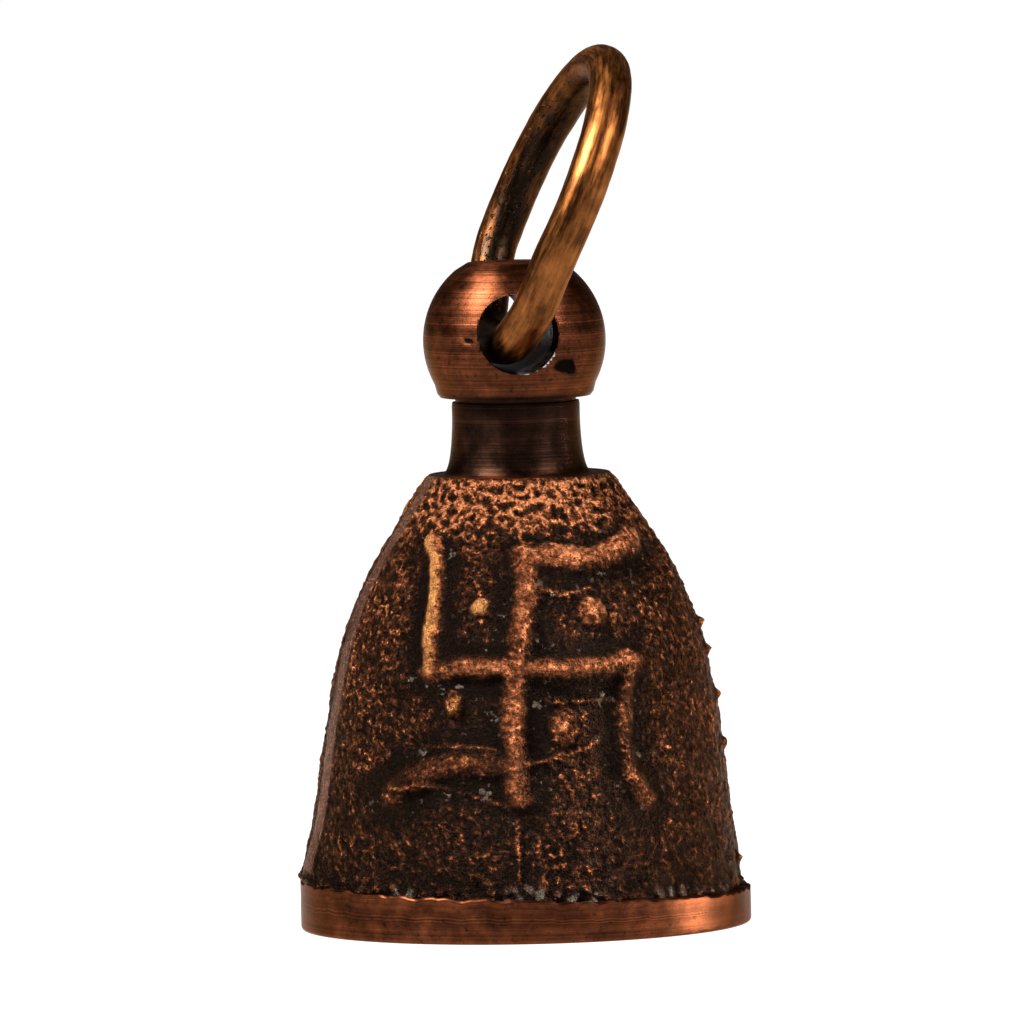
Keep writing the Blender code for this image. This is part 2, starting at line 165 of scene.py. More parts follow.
# Area lights, in metres: name, place, aim, size, watts, spread in degrees, colour
LIGHTS = (
    ("key", (-0.30, -0.12, 0.46), LIGHT_AIM, (0.18, 0.18), 10.5, 180.0, (1.0, 0.94, 0.86)),
    ("side", (0.158, 0.018, 0.004), (0.010, 0.0, 0.004), (0.05, 0.03), 0.014, 16.0, (1.0, 0.92, 0.82)),
    ("fill", (0.34, -0.20, 0.34), LIGHT_AIM, (0.16, 0.16), 2.4, 180.0, (1.0, 0.93, 0.85)),
)
FLOOR_SIZE = 12.0                   # metres
FLOOR_DROP = 0.00002                # just under the rim, so the two never share a plane
BACKGROUND_SEEN = 1.05              # brightness of the surround to the camera
BACKGROUND_FRONT = 0.02             # and to the metal, in front of the bell and behind it
BACKGROUND_BEHIND = 0.10

# Clapper solids that keep their CAD shapes
CLAPPER_FINISH = {
    "crown_eye": "steel",
    "eye_lock_nut": "steel",
    "clapper_link": "steel",
    "clapper_stem": "steel",
    "bob_washer": "steel",
    "clapper_bob": "brass",
}

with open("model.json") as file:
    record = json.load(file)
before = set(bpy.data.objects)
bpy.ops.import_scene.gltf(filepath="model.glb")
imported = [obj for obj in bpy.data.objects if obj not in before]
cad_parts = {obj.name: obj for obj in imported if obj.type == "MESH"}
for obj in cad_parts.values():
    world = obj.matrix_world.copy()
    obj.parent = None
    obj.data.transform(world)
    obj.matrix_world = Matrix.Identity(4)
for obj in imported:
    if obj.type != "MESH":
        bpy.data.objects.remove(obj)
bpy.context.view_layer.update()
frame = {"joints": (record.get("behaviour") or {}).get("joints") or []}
JOINTS = {joint["name"]: joint for joint in frame["joints"]}


# --------------------------------------------------------------------------- numbers and noise

RANDOM = np.random.default_rng(11)
LATTICE = RANDOM.permutation(256)
GRADIENTS = RANDOM.normal(size=(256, 3))
GRADIENTS /= np.linalg.norm(GRADIENTS, axis=1, keepdims=True)
JITTER = RANDOM.random((256, 3))


def smoothstep(low, high, value):
    t = np.clip((value - low) / (high - low), 0.0, 1.0)
    return t * t * (3.0 - 2.0 * t)


def lattice_index(corner):
    first = LATTICE[corner[:, 0] & 255]
    second = LATTICE[(first + corner[:, 1]) & 255]
    return LATTICE[(second + corner[:, 2]) & 255]


def cloud(points, cell):
    """Smooth noise from about -1 to 1, with features one cell wide."""
    scaled = points / cell
    corner = np.floor(scaled).astype(int)
    inside = scaled - corner
    fade = inside**3 * (inside * (inside * 6 - 15) + 10)
    total = np.zeros(len(points))
    for offset in itertools.product((0, 1), repeat=3):
        offset = np.array(offset)
        gradient = GRADIENTS[lattice_index(corner + offset)]
        slope = ((inside - offset) * gradient).sum(1)
        total += slope * np.where(offset, fade, 1.0 - fade).prod(1)
    return total * 1.7


def pebbles(points, cell):
    """Distance to the nearest of many scattered middles, in cells: small on a pebble's top."""
    scaled = points / cell
    corner = np.floor(scaled).astype(int)
    nearest = np.full(len(points), 9.0)
    for offset in itertools.product((-1, 0, 1), repeat=3):
        near = corner + np.array(offset)
        middle = near + JITTER[lattice_index(near)]
        nearest = np.minimum(nearest, ((scaled - middle) ** 2).sum(1))
    return np.sqrt(nearest)


def bezier(controls, count=200):
    t = np.linspace(0.0, 1.0, count)[:, None]
    s = 1.0 - t
    return (
        s**3 * controls[0] + 3 * s * s * t * controls[1] + 3 * s * t * t * controls[2] + t**3 * controls[3]
    )


def resample(points, spacing):
    """The same outline with evenly spaced points."""
    points = np.asarray(points, float)
    steps = np.linalg.norm(np.diff(points, axis=0), axis=1)
    along = np.concatenate(([0.0], np.cumsum(steps)))
    count = max(2, round(along[-1] / spacing) + 1)
    places = np.linspace(0.0, along[-1], count)
    return np.column_stack([np.interp(places, along, points[:, k]) for k in range(points.shape[1])])


def outline(corners, spacing):
    """A polyline through corners, each straight run divided evenly."""
    runs = [resample(pair, spacing) for pair in zip(corners, corners[1:])]
    return np.concatenate([runs[0]] + [run[1:] for run in runs[1:]])


def blur(grid, rows, columns):
    """Box blur of a grid whose columns wrap round."""
    padded = np.pad(grid, ((rows, rows), (0, 0)), mode="edge")
    tall = sum(padded[k:k + len(grid)] for k in range(2 * rows + 1)) / (2 * rows + 1)
    return sum(np.roll(tall, k, axis=1) for k in range(-columns, columns + 1)) / (2 * columns + 1)


# --------------------------------------------------------------------------- meshes


class Skin:
    """Vertices in millimetres with named values, and the faces between them."""

    def __init__(self):
        self.points = []
        self.values = {}
        self.faces = []
        self.slots = []
        self.count = 0

    def add(self, points, **values):
        """Add points, each with its values, and return their indices."""
        points = np.asarray(points, float).reshape(-1, 3)
        for name in sorted(set(values) | set(self.values)):
            known = self.values.setdefault(name, [np.zeros(self.count)])
            known.append(np.broadcast_to(values.get(name, 0.0), (len(points),)).astype(float))
        self.points.append(points)
        self.count += len(points)
        return np.arange(self.count - len(points), self.count)

    def face(self, corners, slot=0):
        self.faces.append([int(corner) for corner in corners])
        self.slots.append(slot)

    def band(self, upper, lower, slot=0):
        """Quads between two like rings, or triangles between a ring and one twice as fine."""
        if len(upper) == len(lower):
            next_upper, next_lower = np.roll(upper, -1), np.roll(lower, -1)
            for corners in zip(upper, lower, next_lower, next_upper):
                self.face(corners, slot)
        elif len(lower) == 2 * len(upper):
            for k in range(len(upper)):
                a, b = upper[k], upper[(k + 1) % len(upper)]
                c, d, e = lower[2 * k], lower[2 * k + 1], lower[(2 * k + 2) % len(lower)]
                for corners in ((a, c, d), (a, d, b), (b, d, e)):
                    self.face(corners, slot)
        else:
            for k in range(len(lower)):
                a, b = lower[k], lower[(k + 1) % len(lower)]
                c, d, e = upper[2 * k], upper[2 * k + 1], upper[(2 * k + 2) % len(upper)]
                for corners in ((c, a, d), (d, a, b), (d, b, e)):
                    self.face(corners, slot)

    def fan(self, ring, middle, slot=0):
        for a, b in zip(ring, np.roll(ring, -1)):
            self.face((middle, a, b), slot)

    def build(self, name, materials):
        """A smooth-shaded object in metres."""
        mesh = bpy.data.meshes.new(name)
        points = np.concatenate(self.points) * MM
        mesh.from_pydata(points.tolist(), [], self.faces)
        for label, parts in self.values.items():
            layer = mesh.attributes.new(label, "FLOAT", "POINT")
            layer.data.foreach_set("value", np.concatenate(parts).astype(np.float32))
        for material in materials:
            mesh.materials.append(material)
        mesh.polygons.foreach_set("material_index", self.slots)
        return finish_mesh(name, mesh)


def finish_mesh(name, mesh):
    mesh.shade_smooth()
    mesh.set_sharp_from_angle(angle=SHARP_ANGLE)
    mesh.validate()
    thing = bpy.data.objects.new(name, mesh)
    bpy.context.scene.collection.objects.link(thing)
    return thing


def ring_points(radius, height, sides, shift=0.0):
    """Points round the bell's axis. The first is at the front, and they run towards +X."""
    turn = np.linspace(0.0, math.tau, sides, endpoint=False)
    radius = np.broadcast_to(radius, (sides,))
    height = np.broadcast_to(height, (sides,))
    return np.column_stack((radius * np.sin(turn) + shift, -radius * np.cos(turn), height))


# --------------------------------------------------------------------------- cast flank


def cast_shift(height):
    """How far the cast body sits off the turned axis, along X."""
    return np.interp(height, (3.0, 8.0, 14.0, 24.0, 30.0), (-0.2, -0.1, 0.05, 0.17, 0.15))


def band_top(azimuth):
    """Ragged height where the turned band ends and the cast skin begins."""
    around = 15.0 * np.column_stack((np.sin(azimuth), -np.cos(azimuth), np.zeros_like(azimuth)))
    ragged = 0.17 * cloud(around, 1.7) + 0.13 * cloud(around + 40.0, 0.7)
    return BAND_HEIGHT - BAND_TILT * np.sin(azimuth) + ragged


def path_distance(points, path):
    """Distance from each point to a polyline, all in three dimensions."""
    nearest = np.full(len(points), 1e9)
    for start, end in zip(path, path[1:]):
        along = end - start
        share = np.clip(((points - start) @ along) / (along @ along), 0.0, 1.0)
        nearest = np.minimum(nearest, np.linalg.norm(points - start - share[:, None] * along, axis=1))
    return nearest


def on_front(route):
    """Points of the front flank at the given (x, height) places."""
    flank = bezier(OUTER_FLANK)
    path = []
    for x, height in resample(route, 0.6):
        radius = np.interp(height, flank[:, 1], flank[:, 0])
        path.append((x, -math.sqrt(radius**2 - x * x), height))
    return np.array(path)


def emblem_relief(points):
    """Height of the raised emblem, its share of rubbing wear and painted highlight, and how far each point
    lies from a stroke.
    """
    wobble = np.column_stack([0.2 * cloud(points + 20.0 * k, 1.3) for k in (1, 2, 3)])
    warped = points + wobble
    height = np.zeros(len(points))
    rubbed = np.zeros(len(points))
    reach = np.full(len(points), 9.0)
    for route, half_width, relief, rub_and_highlight in EMBLEM_STROKES:
        away = path_distance(warped, on_front(route))
        raised = 1.0 - smoothstep(0.15, 1.45, away / half_width)
        height = np.maximum(height, relief * raised)
        rubbed = np.maximum(rubbed, rub_and_highlight * raised)
        reach = np.minimum(reach, away - half_width)
    for x, level, across, upwards, rub_and_highlight in EMBLEM_DOTS:
        middle = on_front(((x, level), (x, level + 0.01)))[0]
        away = np.linalg.norm((warped - middle) / (across, across, upwards), axis=1)
        raised = np.clip(1.0 - away**2, 0.0, 1.0) ** 0.9
        height = np.maximum(height, DOT_HEIGHT * raised)
        rubbed = np.maximum(rubbed, rub_and_highlight * smoothstep(0.0, 0.4, raised))
    return height, rubbed, reach


def lap_relief(points):
    height = np.zeros(len(points))
    for route in COLD_LAPS:
        away = path_distance(points, on_front(route))
        height = np.maximum(height, LAP_HEIGHT * np.exp(-((away / LAP_HALF_WIDTH) ** 2)))
    return height


def parting_share(azimuth, radius, height):
    """1 on the two filed parting lines and 0 away from them."""
    half_width = PARTING_HALF_WIDTH - 0.2 * smoothstep(12.0, 28.0, height)
    share = np.zeros(len(azimuth))
    for line in PARTING_AZIMUTHS:
        turn = (azimuth - math.radians(line) + math.pi) % math.tau - math.pi
        away = np.abs(turn) * radius
        share = np.maximum(share, 1.0 - smoothstep(half_width - 0.08, half_width + 0.08, away))
    return share


def skirt_flare(azimuth, height):
    """Metal squeezed out at the parting lines, just above the rim."""
    flare = np.zeros(len(azimuth))
    for line, size in zip(PARTING_AZIMUTHS, FLARE_SIZES):
        turn = (azimuth - math.radians(line) + math.pi) % math.tau - math.pi
        flare += size * np.exp(-((np.degrees(turn) / FLARE_SPREAD) ** 2))
    above = np.exp(-(((height - FLARE_HEIGHT) / 2.6) ** 2))
    below = np.exp(-(((height - FLARE_HEIGHT) / 1.1) ** 2))
    return flare * np.where(height > FLARE_HEIGHT, above, below)


def flash_lumps(points):
    flank = bezier(OUTER_FLANK)
    height = np.zeros(len(points))
    for azimuth, level in FLASH_LUMPS:
        radius = np.interp(level, flank[:, 1], flank[:, 0])
        turn = math.radians(azimuth)
        middle = np.array((radius * math.sin(turn), -radius * math.cos(turn), level))
        away = np.linalg.norm(points - middle, axis=1)
        height += LUMP_HEIGHT * np.exp(-((away / LUMP_RADIUS) ** 2))
    return height


def skin_relief(points, azimuth, radius, above_band):
    """Height of the cast skin over the plain flank, and the shares that its colouring follows, painted
    highlight among them.
    """
    level = points[:, 2]
    emblem, rubbed, reach = emblem_relief(points)
    front = points[:, 1] < 0
    emblem = np.where(front, emblem, 0.0)
    rubbed = np.where(front, rubbed, 0.0)
    inside_emblem = np.where(front, smoothstep(2.6, 0.4, reach), 0.0) * smoothstep(28.0, 26.0, level)
    grain = GRAIN_HEIGHT * (0.55 - pebbles(points, GRAIN_CELL))
    grain += FINE_GRAIN_HEIGHT * cloud(points, FINE_GRAIN_CELL)
    swell = 0.10 * cloud(points, 2.6) + 0.05 * cloud(points, 1.1)
    crag = smoothstep(*CRAG_HEIGHTS, level + 1.2 * cloud(points, 3.0))
    craggy = CRAG_HEIGHT * (0.6 - np.abs(cloud(points, CRAG_CELL))) + 0.10 * (0.5 - pebbles(points, 0.7))
    crumbs = smoothstep(1.35, 0.2, above_band + 0.4 * cloud(points, 1.5))
    crumble = CRUMB_HEIGHT * np.clip(0.75 - pebbles(points, CRUMB_CELL), -0.25, 0.6)
    grain_share = (1.0 - 0.55 * inside_emblem) * (1.0 - 0.4 * crag)
    relief = emblem + grain * grain_share + swell + crag * craggy + crumbs * crumble
    relief += np.where(front, lap_relief(points), 0.0) + flash_lumps(points)
    strip = parting_share(azimuth, radius, level) * smoothstep(0.2, 1.0, above_band)
    chord = 0.06 - 0.03 * strip
    relief = relief * (1.0 - strip) + chord * strip
    cell = inside_emblem * (1.0 - smoothstep(0.0, 0.3, emblem))
    return relief, emblem, rubbed, strip, crag, crumbs, cell


def add_cast_flank(skin, slot):
    """The rough flank from the shoulder down to the rim. Returns its first and last rings."""
    flank = resample(bezier(OUTER_FLANK)[::-1], FLANK_SPACING)
    slope = np.gradient(flank, axis=0)
    slope /= np.linalg.norm(slope, axis=1, keepdims=True)
    outward = np.column_stack((-slope[:, 1], slope[:, 0]))
    azimuth = np.linspace(0.0, math.tau, FINE_SIDES, endpoint=False)
    top = band_top(azimuth)
    rows, sides = len(flank), FINE_SIDES
    turn = np.tile(azimuth, rows)
    base_radius = np.repeat(flank[:, 0], sides)
    base_height = np.repeat(flank[:, 1], sides)
    sink = np.tile(top - OUTER_FLANK[0][1], rows) * np.exp(-(base_height - OUTER_FLANK[0][1]) / 0.9)
    height = base_height + sink
    radius = base_radius + skirt_flare(turn, height)
    points = np.column_stack((radius * np.sin(turn), -radius * np.cos(turn), height))
    above_band = height - np.tile(top, rows)
    relief, emblem, rubbed, strip, crag, crumbs, cell = skin_relief(points, turn, radius, above_band)
    settle = smoothstep(0.0, 0.5, np.repeat(np.arange(rows), sides) * FLANK_SPACING)
    relief *= settle
    across = np.repeat(outward[:, 0], sides) * relief
    points[:, 0] += across * np.sin(turn) + cast_shift(height)
    points[:, 1] -= across * np.cos(turn)
    points[:, 2] += np.repeat(outward[:, 1], sides) * relief
    grid = relief.reshape(rows, sides)
    grain = grid - emblem.reshape(rows, sides)
    fine = (grain - blur(grain, 2, 2)) / WEAR_FINE
    broad = (grid - blur(grid, 8, 8)) / WEAR_AND_SHADE_BROAD
    # Raised grains and relief come out lighter, as wear; the lower ground beside raised relief comes out
    # darker as painted shade, and the mask below adds more painted shade there.
    wear = np.clip(0.5 + 0.30 * fine + 0.20 * broad, 0.0, 1.0).ravel()
    hollow = np.clip(-1.6 * broad, 0.0, 1.0).ravel()
    index = skin.add(
        points, wear=wear, hollow=hollow, rubbed=rubbed, strip=strip, crag=crag, crumbs=crumbs, cell=cell,
        lathe=height
    )
    index = index.reshape(rows, sides)
    for upper, lower in zip(index, index[1:]):
        skin.band(upper, lower, slot)
    return index[0], index[-1], top


# --------------------------------------------------------------------------- turned parts


def crown_profile():
    """Half-section of the ball and the neck, from the axis down to the neck's foot."""
    ball_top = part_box("bell_casting")[1].z / MM
    first, last = math.radians(39.0), math.radians(118.0)
    angles = np.linspace(first, last, 60)
    ball = np.column_stack((np.sin(angles), np.cos(angles))) * BALL_RADIUS + (0.0, BALL_CENTRE_HEIGHT)
    groove = NECK_RADIUS - GROOVE_DEPTH
    neck_edge = (NECK_RADIUS - 0.04, NECK_TOP)
    neck = bezier(np.array(((NECK_RADIUS, NECK_TOP), *NECK_WAIST, NECK_FOOT)), 24)
    foot = bezier(np.array((NECK_FOOT, *NECK_FILLET, (NECK_SEAT_RADIUS, SHOULDER_HEIGHT))), 8)
    pieces = [
        outline(((0.12, ball_top), (BALL_TOP_FLAT, ball_top)), 0.3),
        outline(((BALL_TOP_FLAT, ball_top), tuple(ball[0])), 0.15)[1:],
        resample(ball, TURNED_SPACING)[1:],
        outline((tuple(ball[-1]), *BALL_FOOT, (groove + 0.05, BALL_UNDERSIDE + 0.02)), 0.18)[1:],
        outline(((groove, BALL_UNDERSIDE - 0.05), (groove, NECK_TOP + 0.04), neck_edge), 0.15),
        resample(neck, TURNED_SPACING)[1:],
        resample(foot, 0.1)[1:],
    ]
    return np.concatenate(pieces)


def bore_frame():
    """Places the bore's own Z along the bore, at the ring joint."""
    joint = JOINTS["ring_swing"]
    along = -Vector(joint["axis"]).normalized()
    turn = along.to_track_quat("Z", "Y").to_matrix().to_4x4()
    return Matrix.Translation(Vector(joint["pos_m"])) @ turn


def bore_tool():
    """The drill, with faint drilling rings and the countersinks at both mouths."""
    reach = 8.0
    places = np.linspace(-reach, reach, 100)
    skin = Skin()
    rings = []
    for place in places:
        flare = max(0.0, abs(place) - BORE_STRAIGHT) * BORE_FLARE
        ring = ring_points(BORE_RADIUS + flare, place, 96)
        ring[:, :2] *= 1.0 + 0.004 * cloud(ring, 0.9)[:, None]
        rings.append(skin.add(ring))
    for lower, upper in zip(rings, rings[1:]):
        skin.band(upper, lower)
    skin.face(rings[-1])
    skin.face(rings[0][::-1])
    tool = skin.build("bore_tool", [])
    tool.matrix_world = bore_frame()
    return tool


def crown_wear(points):
    """Dents and pits in the turned surface of the ball, in millimetres of depth."""
    depth = np.zeros(len(points))
    for middle, size, deep in BALL_DENTS:
        away = np.linalg.norm((points - middle) / size, axis=1) * (1.0 + 0.35 * cloud(points, 0.4))
        depth += deep * np.exp(-(away**2))
    return depth


def cut_crown():
    """The ball and neck with the bore drilled through, as a mesh with its values."""
    profile = crown_profile()
    skin = Skin()
    lathe = np.concatenate(([0.0], np.cumsum(np.linalg.norm(np.diff(profile, axis=0), axis=1))))
    rings = []
    for (radius, height), place in zip(profile, lathe):
        ring = ring_points(radius, height, COARSE_SIDES)
        if height > BALL_UNDERSIDE + 0.3:
            middle = np.array((0.0, 0.0, BALL_CENTRE_HEIGHT))
            outward = (ring - middle) / np.linalg.norm(ring - middle, axis=1, keepdims=True)
            pit = crown_wear(ring)
            ring -= outward * pit[:, None]
            rings.append(skin.add(ring, lathe=place, pit=pit / 0.2))
        else:
            rings.append(skin.add(ring, lathe=place))
    pole = skin.add((0.0, 0.0, profile[0][1]), lathe=0.0)[0]
    skin.fan(rings[0][::-1], pole)
    for upper, lower in zip(rings, rings[1:]):
        skin.band(upper, lower)
    skin.face(rings[-1])
    crown = skin.build("crown", [])
    tool = bore_tool()
    cut = crown.modifiers.new("bore", "BOOLEAN")
    cut.operation = "DIFFERENCE"
    cut.solver = "EXACT"
    cut.object = tool
    graph = bpy.context.evaluated_depsgraph_get()
    mesh = bpy.data.meshes.new_from_object(crown.evaluated_get(graph))
    bpy.data.objects.remove(crown)
    bpy.data.objects.remove(tool)
    return mesh


def add_crown(skin, turned_slot, bore_slot):
    """Add the drilled crown to the bell's skin, and return the ring at the neck's foot."""
    mesh = cut_crown()
    points = np.empty(len(mesh.vertices) * 3)
    mesh.vertices.foreach_get("co", points)
    points = points.reshape(-1, 3) / MM
    lathe = np.empty(len(mesh.vertices))
    mesh.attributes["lathe"].data.foreach_get("value", lathe)
    pit = np.empty(len(mesh.vertices))
    mesh.attributes["pit"].data.foreach_get("value", pit)
    into_bore = np.array(bore_frame().inverted())
    index = skin.add(points, lathe=lathe, pit=pit)
    foot = []
    for polygon in mesh.polygons:
        corners = list(polygon.vertices)
        if len(corners) == COARSE_SIDES:
            foot = corners
            continue
        middle = points[corners].mean(0) * MM
        place = into_bore[:3, :3] @ middle + into_bore[:3, 3]
        from_axis = math.hypot(place[0], place[1]) / MM
        wall = BORE_RADIUS + max(0.0, abs(place[2]) / MM - BORE_STRAIGHT) * BORE_FLARE
        slot = bore_slot if from_axis < wall + 0.03 else turned_slot
        skin.face(index[corners], slot)
    bpy.data.meshes.remove(mesh)
    turn = np.arctan2(points[foot][:, 0], -points[foot][:, 1]) % math.tau
    order = np.argsort(np.where(turn > math.tau - 1e-3, 0.0, turn))
    return index[np.array(foot)[order]]


def add_rim(skin, flank_ring, top, slot):
    """The turned band under the cast skin, its flat foot and the inner lip."""
    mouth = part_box("bell_casting")[1].x / MM
    start = OUTER_FLANK[0][1]
    rounded_edge = ((mouth, RIM_EDGE), (mouth, 0.1), (mouth - 0.1, 0.0), (mouth - RIM_EDGE, 0.0))
    profile = np.concatenate((
        outline(((mouth - 0.12, start), (mouth, start - 0.12)), 0.2),
        outline(((mouth, start - 0.12), (mouth, RIM_EDGE)), 0.3)[1:],
        bezier(np.array(rounded_edge), 6)[1:],
        outline(((mouth - RIM_EDGE, 0.0), (MOUTH_INNER_RADIUS + 0.15, 0.0)), 0.35)[1:],
    ))
    above = flank_ring
    for radius, height in profile:
        share = smoothstep(0.0, start, height)
        ring = ring_points(radius, height + (top - start) * share, FINE_SIDES)
        lower = skin.add(ring, lathe=height + mouth - radius)
        skin.band(above, lower, slot)
        above = lower
    return above


def add_inside(skin, foot_ring, slot):
    """The rough inside wall, the ceiling and the eye's blind hole."""
    wall = resample(bezier(INNER_FLANK), INSIDE_SPACING)
    ceiling = outline(((4.6, CEILING_HEIGHT), (EYE_HOLE_RADIUS + 0.1, CEILING_HEIGHT)), 0.5)[1:]
    hole = outline(((EYE_HOLE_RADIUS, CEILING_HEIGHT + 0.1), (EYE_HOLE_RADIUS, EYE_HOLE_TOP)), 1.0)
    above = foot_ring
    for radius, height in np.concatenate((wall, ceiling)):
        ring = ring_points(radius, height, COARSE_SIDES)
        rough = 0.10 * cloud(ring, 1.4) + 0.08 * cloud(ring, 0.6)
        ring *= (1.0 + rough / radius * smoothstep(0.3, 2.0, height))[:, None] ** (1.0, 1.0, 0.0)
        ring[:, 2] += 0.6 * rough * smoothstep(8.0, 4.0, radius)
        lower = skin.add(ring)
        skin.band(above, lower, slot)
        above = lower
    for radius, height in hole:
        lower = skin.add(ring_points(radius, height, COARSE_SIDES))
        skin.band(above, lower, slot)
        above = lower
    pole = skin.add((0.0, 0.0, EYE_HOLE_TOP))[0]
    skin.fan(above[::-1], pole, slot)


def make_casting(materials):
    """Body, rim, neck and ball as one closed skin."""
    cast, turned, bore, inside = range(4)
    skin = Skin()
    foot = add_crown(skin, turned, bore)
    shoulder = skin.add(ring_points(SHOULDER_RADIUS - 0.25, SHOULDER_HEIGHT, FINE_SIDES), lathe=1.0)
    skin.band(foot, shoulder, turned)
    first, last, top = add_cast_flank(skin, cast)
    skin.band(shoulder, first, turned)
    rim_foot = add_rim(skin, last, top, turned)
    add_inside(skin, rim_foot, inside)
    bell = skin.build("bell_casting_skin", materials)
    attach(bell, "bell")
    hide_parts("bell_casting")


# --------------------------------------------------------------------------- ring and clapper


def ring_route(steps):
    """The middle of the ring's wire, as (aside, along the bore, height) from the bore's axis."""
    turn = np.linspace(-math.pi, math.pi, steps, endpoint=False)
    over_floor = RING_LIFT + RING_RADIUS * np.cos(turn) - RING_FLOOR
    height = RING_FLOOR + (over_floor + np.hypot(over_floor, RING_SOFTNESS)) / 2
    rise = smoothstep(0.0, RING_BEND_HEIGHT, height)
    aside = RING_SIDE_BORE + (RING_SIDE_TOP - RING_SIDE_BORE) * rise
    return resample_loop(np.column_stack((aside, RING_RADIUS * np.sin(turn), height)))


def resample_loop(points):
    """The same closed route with evenly spaced points."""
    closed = np.concatenate((points, points[:1]))
    along = np.concatenate(([0.0], np.cumsum(np.linalg.norm(np.diff(closed, axis=0), axis=1))))
    places = np.linspace(0.0, along[-1], len(points), endpoint=False)
    return np.column_stack([np.interp(places, along, closed[:, k]) for k in range(3)])


def ring_matrix():
    """From the ring's own upright frame to the bell's, in millimetres."""
    joint = JOINTS["ring_swing"]
    along = Vector(joint["axis"]).normalized()
    turn = math.atan2(-along.x, along.y)
    turned = Matrix.Rotation(turn, 4, "Z") @ Matrix.Rotation(RING_LEAN, 4, "Y")
    return Matrix.Translation(Vector(joint["pos_m"]) / MM) @ turned


def make_ring(material):
    """The closed bronze wire ring, a little uneven from its bending."""
    steps, sides = 300, 40
    route = ring_route(steps)
    ahead = np.roll(route, -1, axis=0) - np.roll(route, 1, axis=0)
    ahead /= np.linalg.norm(ahead, axis=1, keepdims=True)
    middle = np.array((0.0, 0.0, RING_LIFT))
    to_bell = np.array(ring_matrix())
    skin = Skin()
    rings = []
    around = np.linspace(0.0, math.tau, sides, endpoint=False)
    for step in range(steps):
        outward = route[step] - middle
        outward -= ahead[step] * (outward @ ahead[step])
        outward /= np.linalg.norm(outward)
        sideways = np.cross(ahead[step], outward)
        spokes = np.cos(around)[:, None] * outward + np.sin(around)[:, None] * sideways
        surface = route[step] + spokes * RING_WIRE_RADIUS
        dents = 0.03 * cloud(surface, 2.4) + 0.015 * cloud(surface, 0.8) - 0.02
        surface = (surface + spokes * dents[:, None]) @ to_bell[:3, :3].T + to_bell[:3, 3]
        inner = smoothstep(0.1, 0.9, -np.cos(around))
        place = step * math.tau * RING_RADIUS / steps
        rings.append(
            skin.add(surface, inner=inner, along=place, outward=np.cos(around), across=np.sin(around))
        )
    for first, second in zip(rings, rings[1:] + rings[:1]):
        skin.band(first, second)
    ring = skin.build("hanging_ring_wire", [material])
    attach(ring, "ring")
    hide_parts("hanging_ring")


# --------------------------------------------------------------------------- materials


class Shader:
    """A material with a Principled shader and short ways to add nodes."""

    def __init__(self, name):
        self.material = bpy.data.materials.new(name)
        self.material.use_nodes = True
        self.tree = self.material.node_tree
        self.surface = self.tree.nodes["Principled BSDF"]

    def node(self, kind, inputs=None, **settings):
        made = self.tree.nodes.new("ShaderNode" + kind)
        for name, value in settings.items():
            setattr(made, name, value)
        for name, value in (inputs or {}).items():
            self.feed(made.inputs[name], value)
        return made

    def feed(self, socket, value):
        if isinstance(value, bpy.types.NodeSocket):
            self.tree.links.new(value, socket)
        else:
            socket.default_value = value

    def set(self, **inputs):
        names = {socket.name.lower().replace(" ", "_"): socket for socket in self.surface.inputs}
        for name, value in inputs.items():
            self.feed(names[name], value)

    def place(self):
        return self.node("TexCoord").outputs["Object"]

    def value(self, name):
        return self.node("Attribute", attribute_name=name).outputs["Fac"]

    def noise(self, feature_mm, detail=2.0, vector=None, roughness=0.55, distortion=0.0):
        inputs = {
            "Vector": vector or self.place(),
            "Scale": 1.0 / (feature_mm * MM),
            "Detail": detail,
            "Roughness": roughness,
            "Distortion": distortion,
        }
        return self.node("TexNoise", inputs).outputs["Fac"]

    def lines(self, place, per_mm, detail=3.0):
        """One-dimensional noise along a value, for turning and filing marks."""
        inputs = {"W": self.math("MULTIPLY", place, per_mm), "Scale": 1.0, "Detail": detail}
        return self.node("TexNoise", inputs, noise_dimensions="1D").outputs["Fac"]

    def file_marks(self):
        """Fine slanting scratches, as a file leaves across a parting line."""
        inputs = {"Vector": self.place(), "Rotation": (0.9, 0.6, 0.4), "Scale": (1.0, 1.0, 0.12)}
        slanted = self.node("Mapping", inputs).outputs["Vector"]
        return self.noise(0.12, 2.0, vector=slanted)

    def math(self, operation, first, second=0.0, third=0.0, clamp=False):
        made = self.node("Math", operation=operation, use_clamp=clamp)
        for socket, value in zip(made.inputs, (first, second, third)):
            self.feed(socket, value)
        return made.outputs[0]

    def spread(self, value, low, high, to_low=0.0, to_high=1.0):
        inputs = {"Value": value, "From Min": low, "From Max": high, "To Min": to_low, "To Max": to_high}
        return self.node("MapRange", inputs, interpolation_type="SMOOTHSTEP").outputs["Result"]

    def ramp(self, value, stops):
        made = self.node("ValToRGB", {"Fac": value})
        elements = made.color_ramp.elements
        while len(elements) < len(stops):
            elements.new(0.5)
        for element, (place, colour) in zip(elements, stops):
            element.position = place
            element.color = (*colour, 1.0)
        return made.outputs["Color"]

    def mix(self, share, first, second):
        made = self.node("Mix", data_type="RGBA")
        self.feed(made.inputs["Factor"], share)
        for socket, value in ((made.inputs[6], first), (made.inputs[7], second)):
            self.feed(socket, value if isinstance(value, bpy.types.NodeSocket) else (*value, 1.0))
        return made.outputs[2]

    def bump(self, height, depth_mm, strength=1.0, below=None):
        inputs = {"Height": height, "Distance": depth_mm * MM, "Strength": strength}
        if below:
            inputs["Normal"] = below
        return self.node("Bump", inputs).outputs["Normal"]


